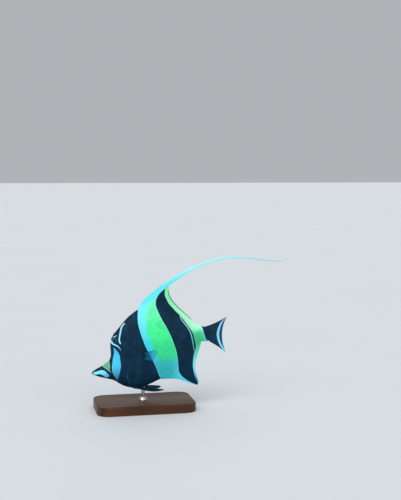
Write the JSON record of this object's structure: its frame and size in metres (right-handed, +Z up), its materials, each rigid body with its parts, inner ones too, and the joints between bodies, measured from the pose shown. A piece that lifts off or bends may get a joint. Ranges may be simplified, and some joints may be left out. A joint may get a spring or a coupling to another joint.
{
  "type": "moorish idol fish on a display stand",
  "caption": "Still, life-size moorish idol with swept-back fins and a long dorsal streamer, posed nose-down on a short rod over a flat base.",
  "frame": {"origin": "middle of the underside of the stand's base", "axes": "+Z up, +X towards the fish's tail, +Y towards the fish's right side, so that -Y faces the camera"},
  "size_m": [0.2716, 0.078, 0.2025],
  "materials": {
    "skin_black": "satin, black scaled skin",
    "skin_banded": "satin, banded scaled skin",
    "skin_yellow": "satin, yellow-green scaled skin",
    "fin_pale": "satin fin membrane and rays",
    "fin_clear": "translucent fin membrane and rays",
    "eye_dark": "wet gloss",
    "stand_wood": "satin varnish",
    "stand_steel": "brushed"
  },
  "bodies": {
    "root": {"head": "skin_black", "torso": "skin_banded", "tail_stalk": "skin_yellow", "dorsal_fin": "fin_pale", "streamer_root": "fin_pale", "streamer_middle": "fin_pale", "streamer_tip": "fin_pale", "anal_fin": "skin_black", "tail_fin": "skin_black", "pectoral_fin_left": "fin_clear", "pectoral_fin_right": "fin_clear", "pelvic_fin_left": "skin_black", "pelvic_fin_right": "skin_black", "eye_left": "eye_dark", "eye_right": "eye_dark", "horn_left": "skin_black", "horn_right": "skin_black", "stand_base": "stand_wood", "stand_rod": "stand_steel", "stand_collar": "stand_steel"}
  },
  "joints": []
}
